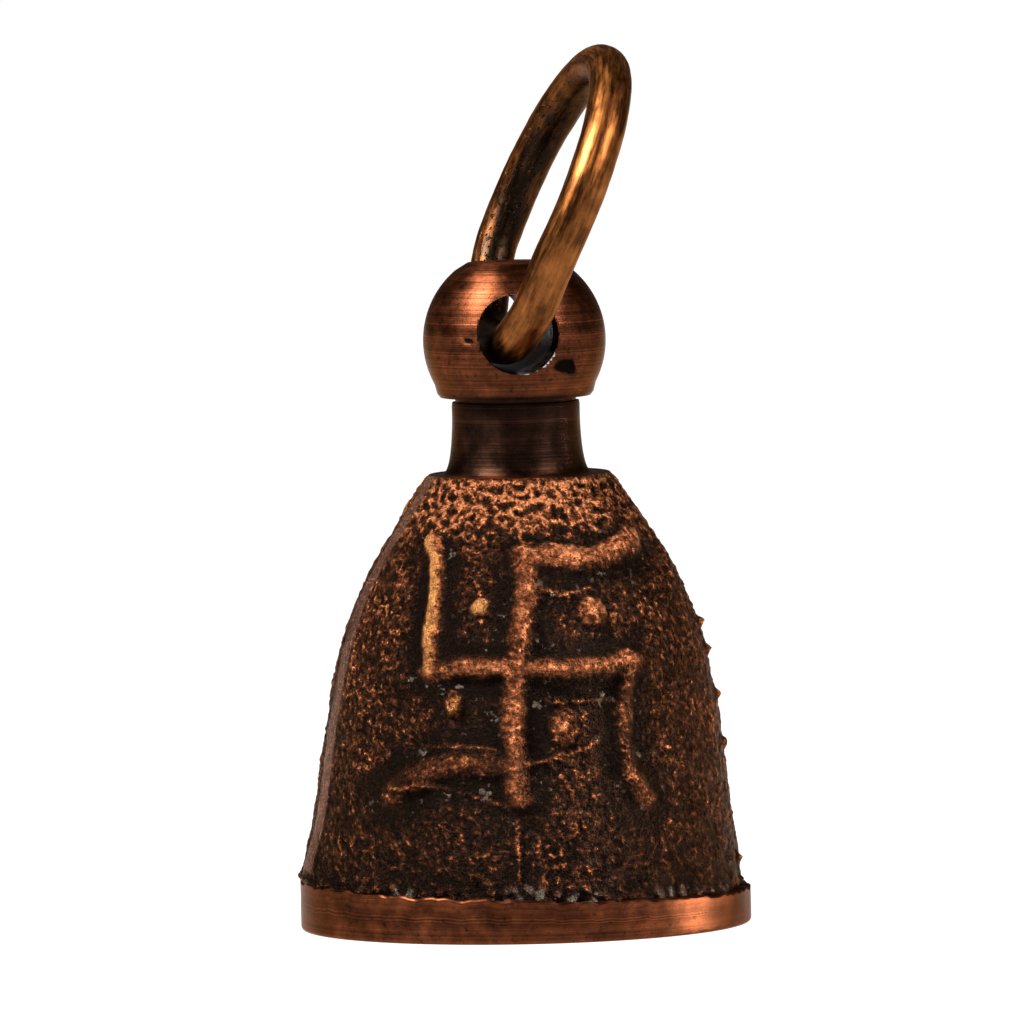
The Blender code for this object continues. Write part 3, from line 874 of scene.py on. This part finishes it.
def cast_material():
    """Antique copper on a sand-cast skin: near black in the hollows, bare copper on the grains, with
    painted shade beside the raised relief, painted light and highlights, and painted glints and
    reflections.
    """
    shader = Shader("cast_antique_copper")
    wear = shader.value("wear")
    strip = shader.value("strip")
    crumbs = shader.value("crumbs")
    rubbed = shader.value("rubbed")
    fine = shader.noise(0.26, 4.0, roughness=0.65)
    speck = shader.noise(0.11, 2.0)
    patch = shader.noise(4.0, 3.0)
    height = shader.node("SeparateXYZ", {"Vector": shader.place()}).outputs["Z"]

    contrast = shader.spread(rubbed, 0.0, 0.4, 2.2, 1.1)
    speckle = shader.math("MULTIPLY", shader.math("SUBTRACT", fine, 0.5), contrast)
    grains = shader.math("MULTIPLY_ADD", wear, 0.85, speckle)
    # Painted light: the skin is darker towards the rim and lighter towards the shoulder, as the high key
    # lamp falls on it.
    grains = shader.math("ADD", grains, shader.spread(height, 4 * MM, 30 * MM, -0.12, 0.10))
    grains = shader.math("MULTIPLY_ADD", shader.math("SUBTRACT", patch, 0.5), 0.5, grains)
    # The coarse skin near the shoulder comes out lighter: wear, and painted light where the key lamp
    # catches it.
    grains = shader.math("MULTIPLY_ADD", shader.value("crag"), 0.17, grains)
    # Rubbed emblem strokes come out lighter: handling wear, and painted highlight on the strokes towards
    # the key lamp.
    grains = shader.math("MULTIPLY_ADD", rubbed, 0.34, grains)
    # Painted shade in the low ground beside raised relief.
    grains = shader.math("MULTIPLY_ADD", shader.value("hollow"), -0.30, grains)
    grains = shader.math("MULTIPLY_ADD", shader.value("cell"), -0.16, grains)
    grains = shader.math("MULTIPLY_ADD", crumbs, -0.18, grains, clamp=True)
    colour = shader.ramp(grains, (
        (0.15, (0.0055, 0.0033, 0.0024)),
        (0.42, (0.018, 0.0078, 0.0042)),
        (0.60, (0.046, 0.0155, 0.0065)),
        (0.80, (0.165, 0.050, 0.019)),
        (1.00, (0.43, 0.165, 0.070)),
    ))
    # Golden on the brightest strokes: handling wear, and painted highlight where the key lamp falls.
    handled_and_highlit = shader.spread(rubbed, 0.5, 0.8, 0.0, 0.5)
    gilt_and_highlight = shader.math("MULTIPLY", handled_and_highlit, shader.spread(grains, 0.55, 1.0))
    colour = shader.mix(gilt_and_highlight, colour, (0.36, 0.19, 0.045))
    # Painted reflection: silver-grey on the raised tops of the crumbs along the rim.
    silvery_reflection = shader.math("MULTIPLY", shader.spread(crumbs, 0.3, 0.9), shader.spread(patch, 0.46, 0.62))
    silvery_reflection = shader.math("MULTIPLY", silvery_reflection, shader.spread(wear, 0.5, 0.9))
    colour = shader.mix(silvery_reflection, colour, (0.060, 0.052, 0.046))
    glint = shader.math("MULTIPLY", shader.value("cell"), shader.spread(shader.noise(0.7, 3.0), 0.63, 0.70))
    colour = shader.mix(glint, colour, (0.10, 0.080, 0.066))
    filed = shader.math("MULTIPLY", shader.file_marks(), strip)
    strip_colour = shader.mix(shader.spread(filed, 0.35, 0.6), (0.030, 0.014, 0.009), (0.19, 0.090, 0.060))
    strip_share = shader.math("MULTIPLY", strip, shader.spread(patch, 0.3, 0.55, 0.45, 0.95))
    colour = shader.mix(strip_share, colour, strip_colour)

    rough = shader.spread(speck, 0.3, 0.7, 0.22, 0.42)
    grain_bump = shader.bump(fine, 0.34, below=shader.bump(speck, 0.06))
    normal = shader.bump(filed, 0.12, below=grain_bump)
    shader.set(
        base_color=colour, metallic=0.95, roughness=rough, normal=normal,
        specular_ior_level=0.25, specular_tint=EDGE_TINT,
    )
    return shader.material


def turned_material():
    """Antique copper on turned surfaces: fine rings, darker in the neck, rubbed on the ball."""
    shader = Shader("turned_antique_copper")
    lathe = shader.value("lathe")
    height = shader.node("SeparateXYZ", {"Vector": shader.place()}).outputs["Z"]
    rings = shader.lines(lathe, 9.0, 4.0)
    broad_rings = shader.lines(lathe, 1.7, 2.0)
    blotch = shader.noise(1.5, 5.0, roughness=0.65)
    pits = shader.noise(0.35, 3.0)
    tone = shader.math("MULTIPLY_ADD", rings, 0.40, shader.math("MULTIPLY", blotch, 0.60))
    tone = shader.math("MULTIPLY_ADD", shader.math("SUBTRACT", broad_rings, 0.5), 0.35, tone)
    tone = shader.math("MULTIPLY_ADD", shader.spread(pits, 0.40, 0.32), -0.12, tone)
    copper = shader.ramp(tone, (
        (0.28, (0.018, 0.006, 0.003)),
        (0.46, (0.055, 0.017, 0.0075)),
        (0.62, (0.125, 0.035, 0.0145)),
        (0.80, (0.25, 0.080, 0.034)),
    ))
    # The neck is coloured darker than the ball and the shoulder.
    darker_neck_colour = shader.ramp(tone, (
        (0.30, (0.007, 0.004, 0.003)),
        (0.55, (0.020, 0.009, 0.006)),
        (0.80, (0.055, 0.023, 0.013)),
    ))
    above_foot = shader.spread(height, 30.75 * MM, 31.05 * MM)
    in_neck = shader.math("MULTIPLY", above_foot, shader.spread(height, 36.5 * MM, 36.0 * MM))
    colour = shader.mix(in_neck, copper, darker_neck_colour)
    pitted = shader.spread(shader.value("pit"), 0.15, 0.6)
    colour = shader.mix(pitted, colour, (0.004, 0.003, 0.003))
    rough = shader.math("MULTIPLY_ADD", pitted, 0.3, shader.spread(blotch, 0.3, 0.7, 0.34, 0.46))
    normal = shader.bump(rings, 0.014, below=shader.bump(pits, 0.012))
    tangent = shader.node("Tangent", direction_type="RADIAL", axis="Z").outputs["Tangent"]
    shader.set(
        base_color=colour, metallic=1.0, roughness=rough, normal=normal, specular_tint=EDGE_TINT,
        anisotropic=0.5, anisotropic_rotation=0.25, tangent=tangent,
    )
    return shader.material


def bore_material():
    """The drilled bore: dark inside, rubbed to bare metal where the ring lies on its mouths."""
    shader = Shader("drilled_bore")
    place = shader.place()
    scratch = shader.noise(0.35, 5.0, roughness=0.7, distortion=0.8)
    bore = JOINTS["ring_swing"]["pos_m"]
    parts = shader.node("SeparateXYZ", {"Vector": place})
    depth = shader.math("ABSOLUTE", parts.outputs["Y"])
    low = shader.spread(parts.outputs["Z"], (bore[2] / MM - 0.6) * MM, (bore[2] / MM - 2.0) * MM)
    right = shader.spread(parts.outputs["X"], -0.6 * MM, 1.2 * MM)
    near_mouth = shader.spread(depth, 2.6 * MM, 4.4 * MM)
    worn = shader.math("MULTIPLY", shader.math("MULTIPLY", low, near_mouth), right)
    worn = shader.math("ADD", worn, shader.math("SUBTRACT", scratch, 0.55), clamp=True)
    dark = shader.ramp(scratch, ((0.35, (0.006, 0.004, 0.003)), (0.7, (0.05, 0.022, 0.014))))
    silver = shader.ramp(scratch, ((0.35, (0.16, 0.15, 0.15)), (0.6, (0.62, 0.62, 0.64))))
    colour = shader.mix(shader.spread(worn, 0.25, 0.6), dark, silver)
    normal = shader.bump(scratch, 0.05)
    shader.set(base_color=colour, metallic=1.0, roughness=0.34, normal=normal)
    return shader.material


def inside_material():
    """The unworked inside of the casting, dark brown and matt."""
    shader = Shader("inside_casting")
    grain = shader.noise(0.5, 4.0, roughness=0.65)
    blotch = shader.noise(4.0, 3.0)
    tone = shader.math("ADD", shader.math("MULTIPLY", grain, 0.6), shader.math("MULTIPLY", blotch, 0.4))
    colour = shader.ramp(tone, (
        (0.32, (0.012, 0.007, 0.005)),
        (0.52, (0.055, 0.026, 0.015)),
        (0.70, (0.16, 0.075, 0.035)),
    ))
    bare = shader.spread(tone, 0.4, 0.65, 0.3, 0.9)
    shader.set(base_color=colour, metallic=bare, roughness=0.52, normal=shader.bump(grain, 0.12))
    return shader.material


def ring_material():
    """Bronze wire, golden where hands rub it and dark on its inner side."""
    shader = Shader("worn_bronze_wire")
    along = shader.value("along")
    inner = shader.value("inner")
    around = shader.node("CombineXYZ", {
        "X": shader.math("MULTIPLY", shader.value("across"), 4.0),
        "Y": shader.math("MULTIPLY", shader.value("outward"), 4.0),
        "Z": shader.math("MULTIPLY", along, 0.35),
    }).outputs["Vector"]
    inputs = {"Vector": around, "Scale": 1.0, "Detail": 5.0, "Roughness": 0.7}
    drawn = shader.node("TexNoise", inputs).outputs["Fac"]
    blotch = shader.noise(2.2, 4.0, roughness=0.6)
    pits = shader.noise(0.40, 3.0, roughness=0.7)
    tone = shader.math("MULTIPLY_ADD", blotch, 0.45, shader.math("MULTIPLY", drawn, 0.55))
    tone = shader.math("MULTIPLY_ADD", inner, -0.22, tone)
    colour = shader.ramp(tone, (
        (0.28, (0.014, 0.008, 0.005)),
        (0.42, (0.080, 0.028, 0.009)),
        (0.55, (0.215, 0.074, 0.020)),
        (0.72, (0.390, 0.160, 0.044)),
    ))
    pitted = shader.math("MULTIPLY", shader.spread(pits, 0.44, 0.37), inner)
    colour = shader.mix(pitted, colour, (0.006, 0.005, 0.004))
    normal = shader.bump(pitted, -0.08, below=shader.bump(drawn, 0.015))
    rough = shader.spread(drawn, 0.35, 0.65, 0.28, 0.44)
    shader.set(base_color=colour, metallic=1.0, roughness=rough, normal=normal, specular_tint=EDGE_TINT)
    return shader.material


def steel_material():
    """Zinc plated steel wire: dull grey, with cloudy patches and fine drawing marks."""
    shader = Shader("zinc_plated_wire")
    cloudy = shader.noise(1.2, 4.0, roughness=0.65)
    drawn = shader.noise(0.14, 3.0)
    stain = shader.noise(3.0, 3.0)
    colour = shader.ramp(cloudy, (
        (0.30, (0.20, 0.20, 0.20)),
        (0.50, (0.36, 0.36, 0.35)),
        (0.70, (0.52, 0.52, 0.50)),
    ))
    colour = shader.mix(shader.spread(stain, 0.55, 0.72, 0.0, 0.6), colour, (0.16, 0.10, 0.06))
    rough = shader.spread(cloudy, 0.3, 0.7, 0.46, 0.28)
    normal = shader.bump(drawn, 0.012, below=shader.bump(cloudy, 0.02))
    shader.set(base_color=colour, metallic=1.0, roughness=rough, normal=normal)
    return shader.material


def brass_material():
    """Turned brass: fine rings about its axis, and tarnished in patches."""
    shader = Shader("turned_brass_bob")
    place = shader.place()
    parts = shader.node("SeparateXYZ", {"Vector": place})
    squares = [shader.math("POWER", parts.outputs[axis], 2.0) for axis in "XY"]
    from_axis = shader.math("SQRT", shader.math("ADD", *squares))
    lathe = shader.math("MULTIPLY", shader.math("SUBTRACT", parts.outputs["Z"], from_axis), 1.0 / MM)
    rings = shader.lines(lathe, 8.0, 4.0)
    tarnish = shader.noise(1.8, 5.0, roughness=0.62)
    tone = shader.math("MULTIPLY_ADD", rings, 0.35, shader.math("MULTIPLY", tarnish, 0.65))
    colour = shader.ramp(tone, (
        (0.30, (0.060, 0.030, 0.010)),
        (0.48, (0.22, 0.125, 0.035)),
        (0.66, (0.46, 0.29, 0.095)),
    ))
    rough = shader.spread(tarnish, 0.3, 0.7, 0.24, 0.46)
    shader.set(base_color=colour, metallic=1.0, roughness=rough, normal=shader.bump(rings, 0.015))
    return shader.material


def finish_clapper():
    """Better materials for the clapper's own solids, which keep their shapes."""
    finishes = {"steel": steel_material(), "brass": brass_material()}
    for name, material in CLAPPER_FINISH.items():
        node = bpy.data.objects[name]
        for holder in node.material_slots:
            holder.material = finishes[material]


# --------------------------------------------------------------------------- stage


def area_light(name, place, aim, size, power, spread, colour):
    lamp = bpy.data.lights.new(name, "AREA")
    lamp.shape = "RECTANGLE"
    lamp.size, lamp.size_y = size
    lamp.energy = power
    lamp.spread = math.radians(spread)
    lamp.color = colour
    thing = bpy.data.objects.new(name, lamp)
    thing.visible_camera = False
    thing.location = place
    thing.rotation_euler = (Vector(aim) - Vector(place)).to_track_quat("-Z", "Y").to_euler()
    bpy.context.scene.collection.objects.link(thing)


def make_stage():
    """A pale floor, a white surround that is dim to the metal, and soft lights."""
    bpy.ops.mesh.primitive_plane_add(size=FLOOR_SIZE, location=(0.0, 0.0, -FLOOR_DROP))
    floor = bpy.context.object
    floor.name = "floor"
    paper = Shader("pale_floor")
    paper.set(
        base_color=(0.12, 0.12, 0.12, 1.0), roughness=0.9, specular_ior_level=0.0,
        emission_color=(1.0, 1.0, 1.0, 1.0), emission_strength=1.0,
    )
    floor.data.materials.append(paper.material)

    world = bpy.data.worlds.new("studio")
    world.use_nodes = True
    tree = world.node_tree
    background = tree.nodes["Background"]
    direction = tree.nodes.new("ShaderNodeTexCoord").outputs["Generated"]
    split = tree.nodes.new("ShaderNodeSeparateXYZ")
    tree.links.new(direction, split.inputs[0])
    behind = tree.nodes.new("ShaderNodeMapRange")
    behind.inputs["From Min"].default_value = -0.2
    behind.inputs["From Max"].default_value = 0.8
    behind.inputs["To Min"].default_value = BACKGROUND_FRONT
    behind.inputs["To Max"].default_value = BACKGROUND_BEHIND
    tree.links.new(split.outputs["Y"], behind.inputs["Value"])
    seen = tree.nodes.new("ShaderNodeLightPath")
    strength = tree.nodes.new("ShaderNodeMix")
    tree.links.new(seen.outputs["Is Camera Ray"], strength.inputs["Factor"])
    tree.links.new(behind.outputs["Result"], strength.inputs["A"])
    strength.inputs["B"].default_value = BACKGROUND_SEEN
    tree.links.new(strength.outputs["Result"], background.inputs["Strength"])
    background.inputs["Color"].default_value = (1.0, 1.0, 1.0, 1.0)
    bpy.context.scene.world = world

    for light in LIGHTS:
        area_light(*light)


def make_camera():
    """A long lens a little above the bell, with the slight roll of a hand-held shot."""
    aim = Vector(CAMERA_AIM) * MM
    camera = bpy.data.cameras.new("camera")
    camera.sensor_width = 36.0
    camera.lens = camera.sensor_width * CAMERA_DISTANCE / (SEEN_WIDTH * MM)
    camera.clip_start = 0.01
    thing = bpy.data.objects.new("camera", camera)
    back = Vector((0.0, -math.cos(CAMERA_ELEVATION), math.sin(CAMERA_ELEVATION)))
    thing.location = aim + back * CAMERA_DISTANCE
    facing = (-back).to_track_quat("-Z", "Y").to_matrix().to_4x4()
    thing.rotation_euler = (facing @ Matrix.Rotation(-CAMERA_ROLL, 4, "Z")).to_euler()
    bpy.context.scene.collection.objects.link(thing)
    bpy.context.scene.camera = thing


def main():
    bpy.context.scene.view_settings.view_transform = "Standard"
    make_stage()
    make_camera()
    make_casting([cast_material(), turned_material(), bore_material(), inside_material()])
    make_ring(ring_material())
    finish_clapper()


main()
